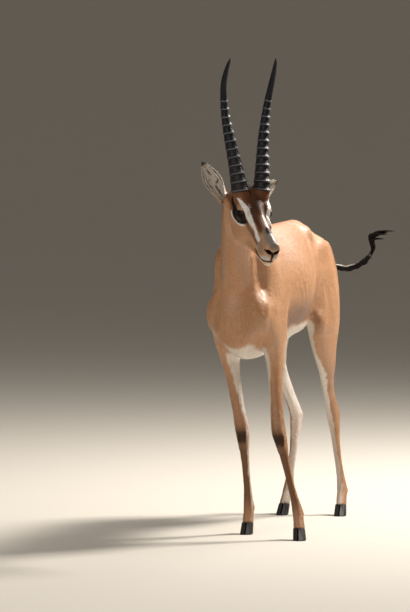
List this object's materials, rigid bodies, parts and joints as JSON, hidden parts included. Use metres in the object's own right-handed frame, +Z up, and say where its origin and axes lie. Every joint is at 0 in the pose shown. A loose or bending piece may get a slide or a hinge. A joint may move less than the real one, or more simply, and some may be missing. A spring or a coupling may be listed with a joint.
{
  "type": "standing gazelle figure",
  "caption": "Life-size standing gazelle ram with ringed horns, head turned to its left, tail swung aside and cloven hooves flat on the floor.",
  "frame": {"origin": "on the floor, under the middle of the bounding box", "axes": "-Y the way the body faces, +X the animal's left, +Z up"},
  "size_m": [0.3526, 1.3212, 1.3827],
  "materials": {
    "coat": "short smooth hair, sandy tan above, white below",
    "horn": "grey-black horn, ringed below, smooth at the tip",
    "hoof": "black hoof horn",
    "eye": "wet dark brown eye",
    "tail_hair": "long black hair"
  },
  "bodies": {
    "root": {"torso": "coat", "neck": "coat", "head": "coat", "ear_left": "coat", "horn_left": "horn", "eye_left": "eye", "ear_right": "coat", "horn_right": "horn", "eye_right": "eye", "tail": "tail_hair", "tail_tuft": "tail_hair", "foreleg_left": "coat", "foreshank_left": "coat", "claw_fore_left_left": "hoof", "claw_fore_left_right": "hoof", "foreleg_right": "coat", "foreshank_right": "coat", "claw_fore_right_left": "hoof", "claw_fore_right_right": "hoof", "hindleg_left": "coat", "hindshank_left": "coat", "claw_hind_left_left": "hoof", "claw_hind_left_right": "hoof", "hindleg_right": "coat", "hindshank_right": "coat", "claw_hind_right_left": "hoof", "claw_hind_right_right": "hoof"}
  },
  "joints": []
}
